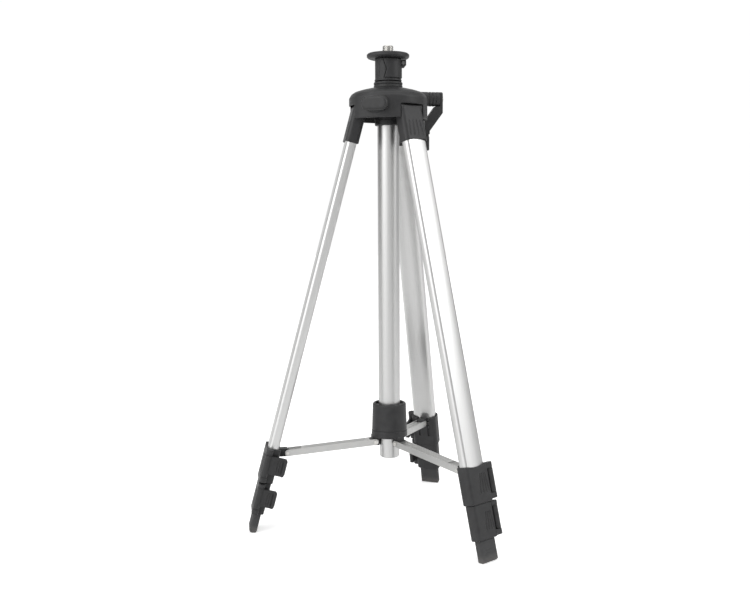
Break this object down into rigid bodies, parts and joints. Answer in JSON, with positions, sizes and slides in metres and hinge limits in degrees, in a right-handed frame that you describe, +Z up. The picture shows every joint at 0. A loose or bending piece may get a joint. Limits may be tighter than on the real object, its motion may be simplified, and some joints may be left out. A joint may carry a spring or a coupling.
{
  "type": "laser level tripod",
  "caption": "Folding survey tripod with telescoping flip-lever legs, braced spreader, geared elevating column and flat platform with threaded stud for a laser level.",
  "frame": {"origin": "on the column's axis at the platform's top, at the foot of the stud; the ground is 0.6871 m below", "axes": "+Z up along the column; -Y towards the front bay with the column lock knob; one leg stands along +Y"},
  "size_m": [0.38, 0.3362, 0.6981],
  "materials": {
    "anodised_aluminium": "satin anodised, fine lengthwise draw lines",
    "strut_aluminium": "plain mill-finish channel",
    "bright_steel": "bright zinc plated",
    "rack_steel": "dark oiled steel",
    "foot_rubber": "matt black",
    "pad_rubber": "matt black",
    "lever_plastic": "fine-grained black moulding",
    "knob_plastic": "fine-grained black moulding",
    "bush_plastic": "plain black acetal",
    "body_plastic": "fine-grained black moulding"
  },
  "bodies": {
    "tripod_body": {"crown_cover": "body_plastic", "crown_core": "body_plastic", "column_friction_ring": "body_plastic", "guide_tube_collar": "body_plastic", "guide_tube": "anodised_aluminium", "guide_tube_end_plug": "anodised_aluminium", "leg_hinge_pins": "bright_steel", "lock_pressure_shoe": "pad_rubber", "crank_boss": "body_plastic"},
    "column": {"column_tube": "anodised_aluminium", "column_rack": "rack_steel", "column_end_bush": "bush_plastic", "column_neck": "body_plastic", "neck_clamp_band": "body_plastic", "head_screws": "rack_steel", "platform_disc": "body_plastic", "platform_pad": "pad_rubber", "mount_stud": "bright_steel"},
    "crank": {"crank_pinion": "bush_plastic", "crank_spindle": "bright_steel", "crank_arm": "knob_plastic"},
    "crank_grip": {"crank_grip": "knob_plastic"},
    "column_lock": {"lock_screw": "bright_steel", "column_lock_knob": "knob_plastic"},
    "spreader_hub": {"spreader_hub": "body_plastic", "spreader_bush": "bush_plastic", "spreader_pins": "bright_steel"},
    "strut_right": {"strut_right": "strut_aluminium", "strut_rivets_right": "bright_steel"},
    "leg_right": {"leg_socket_right": "body_plastic", "leg_tube_upper_right": "anodised_aluminium", "clamp_upper_right": "body_plastic"},
    "leg_middle_right": {"leg_tube_middle_right": "anodised_aluminium", "clamp_lower_right": "body_plastic"},
    "leg_lower_right": {"leg_tube_lower_right": "anodised_aluminium", "foot_right": "foot_rubber"},
    "lever_upper_right": {"lever_upper_right": "lever_plastic"},
    "lever_lower_right": {"lever_lower_right": "lever_plastic"},
    "strut_rear": {"strut_rear": "strut_aluminium", "strut_rivets_rear": "bright_steel"},
    "leg_rear": {"leg_socket_rear": "body_plastic", "leg_tube_upper_rear": "anodised_aluminium", "clamp_upper_rear": "body_plastic"},
    "leg_middle_rear": {"leg_tube_middle_rear": "anodised_aluminium", "clamp_lower_rear": "body_plastic"},
    "leg_lower_rear": {"leg_tube_lower_rear": "anodised_aluminium", "foot_rear": "foot_rubber"},
    "lever_upper_rear": {"lever_upper_rear": "lever_plastic"},
    "lever_lower_rear": {"lever_lower_rear": "lever_plastic"},
    "strut_left": {"strut_left": "strut_aluminium", "strut_rivets_left": "bright_steel"},
    "leg_left": {"leg_socket_left": "body_plastic", "leg_tube_upper_left": "anodised_aluminium", "clamp_upper_left": "body_plastic"},
    "leg_middle_left": {"leg_tube_middle_left": "anodised_aluminium", "clamp_lower_left": "body_plastic"},
    "leg_lower_left": {"leg_tube_lower_left": "anodised_aluminium", "foot_left": "foot_rubber"},
    "lever_upper_left": {"lever_upper_left": "lever_plastic"},
    "lever_lower_left": {"lever_lower_left": "lever_plastic"}
  },
  "joints": [
    {"name": "column_raise", "type": "slide", "parent": "tripod_body", "child": "column", "axis": [0, 0, 1], "range_m": [0, 0.25]},
    {"name": "crank_turn", "type": "hinge", "parent": "tripod_body", "child": "crank", "pos_m": [0.04228, 0.04677, -0.0604], "axis": [0.866, 0.5, 0], "range_deg": [-2390, 0]},
    {"name": "grip_fold", "type": "hinge", "parent": "crank", "child": "crank_grip", "pos_m": [0.04245, 0.04687, -0.107], "axis": [0.5, -0.866, 0], "range_deg": [0, 90]},
    {"name": "column_lock_turn", "type": "hinge", "parent": "tripod_body", "child": "column_lock", "pos_m": [0, -0.06, -0.0747], "axis": [0, -1, 0], "range_deg": [-180, 0]},
    {"name": "leg_fold_right", "type": "hinge", "parent": "tripod_body", "child": "leg_right", "pos_m": [0.03684, -0.02127, -0.0792], "axis": [0.5, 0.866, 0], "range_deg": [0, 7]},
    {"name": "leg_fold_rear", "type": "hinge", "parent": "tripod_body", "child": "leg_rear", "pos_m": [0, 0.04254, -0.0792], "axis": [-1, 0, 0], "range_deg": [0, 7.01]},
    {"name": "leg_fold_left", "type": "hinge", "parent": "tripod_body", "child": "leg_left", "pos_m": [-0.03684, -0.02127, -0.0792], "axis": [0.5, -0.866, 0], "range_deg": [0, 7.01]},
    {"name": "hub_slide", "type": "slide", "parent": "tripod_body", "child": "spreader_hub", "axis": [0, 0, 1], "range_m": [0, 0.09335]},
    {"name": "strut_fold_right", "type": "hinge", "parent": "spreader_hub", "child": "strut_right", "pos_m": [0.01914, -0.01105, -0.5627], "axis": [0.5, 0.866, 0], "range_deg": [0, 55.35]},
    {"name": "leg_extend_middle_right", "type": "slide", "parent": "leg_right", "child": "leg_middle_right", "axis": [0.2241, -0.1294, -0.9659], "range_m": [0, 0.3]},
    {"name": "leg_extend_lower_right", "type": "slide", "parent": "leg_middle_right", "child": "leg_lower_right", "axis": [0.2241, -0.1294, -0.9659], "range_m": [0, 0.3]},
    {"name": "lever_flip_upper_right", "type": "hinge", "parent": "leg_right", "child": "lever_upper_right", "pos_m": [0.1721, -0.06957, -0.58486], "axis": [0.2241, -0.1294, -0.9659], "range_deg": [0, 110]},
    {"name": "lever_flip_lower_right", "type": "hinge", "parent": "leg_middle_right", "child": "lever_lower_right", "pos_m": [0.18132, -0.07743, -0.6324], "axis": [0.2241, -0.1294, -0.9659], "range_deg": [0, 110]},
    {"name": "strut_fold_rear", "type": "hinge", "parent": "spreader_hub", "child": "strut_rear", "pos_m": [0, 0.0221, -0.5627], "axis": [-1, 0, 0], "range_deg": [0, 55.35]},
    {"name": "leg_extend_middle_rear", "type": "slide", "parent": "leg_rear", "child": "leg_middle_rear", "axis": [0, 0.2588, -0.9659], "range_m": [0, 0.3]},
    {"name": "leg_extend_lower_rear", "type": "slide", "parent": "leg_middle_rear", "child": "leg_lower_rear", "axis": [0, 0.2588, -0.9659], "range_m": [0, 0.3]},
    {"name": "lever_flip_upper_rear", "type": "hinge", "parent": "leg_rear", "child": "lever_upper_rear", "pos_m": [-0.0258, 0.18383, -0.58486], "axis": [0, 0.2588, -0.9659], "range_deg": [0, 110]},
    {"name": "lever_flip_lower_rear", "type": "hinge", "parent": "leg_middle_rear", "child": "lever_lower_rear", "pos_m": [-0.0236, 0.19574, -0.6324], "axis": [0, 0.2588, -0.9659], "range_deg": [0, 110]},
    {"name": "strut_fold_left", "type": "hinge", "parent": "spreader_hub", "child": "strut_left", "pos_m": [-0.01914, -0.01105, -0.5627], "axis": [0.5, -0.866, 0], "range_deg": [0, 55.35]},
    {"name": "leg_extend_middle_left", "type": "slide", "parent": "leg_left", "child": "leg_middle_left", "axis": [-0.2241, -0.1294, -0.9659], "range_m": [0, 0.3]},
    {"name": "leg_extend_lower_left", "type": "slide", "parent": "leg_middle_left", "child": "leg_lower_left", "axis": [-0.2241, -0.1294, -0.9659], "range_m": [0, 0.3]},
    {"name": "lever_flip_upper_left", "type": "hinge", "parent": "leg_left", "child": "lever_upper_left", "pos_m": [-0.1463, -0.11426, -0.58486], "axis": [-0.2241, -0.1294, -0.9659], "range_deg": [0, 110]},
    {"name": "lever_flip_lower_left", "type": "hinge", "parent": "leg_middle_left", "child": "lever_lower_left", "pos_m": [-0.15771, -0.11831, -0.6324], "axis": [-0.2241, -0.1294, -0.9659], "range_deg": [0, 110]}
  ],
  "couplings": [
    {"joint": "crank_turn", "follows": "column_raise", "rad_per_m": -166.67},
    {"joint": "leg_fold_rear", "follows": "leg_fold_right", "ratio": 1},
    {"joint": "leg_fold_left", "follows": "leg_fold_right", "ratio": 1},
    {"joint": "hub_slide", "follows": "leg_fold_right", "m_per_rad": 0.76324},
    {"joint": "strut_fold_right", "follows": "leg_fold_right", "ratio": 7.906},
    {"joint": "strut_fold_rear", "follows": "leg_fold_right", "ratio": 7.906},
    {"joint": "strut_fold_left", "follows": "leg_fold_right", "ratio": 7.906}
  ]
}
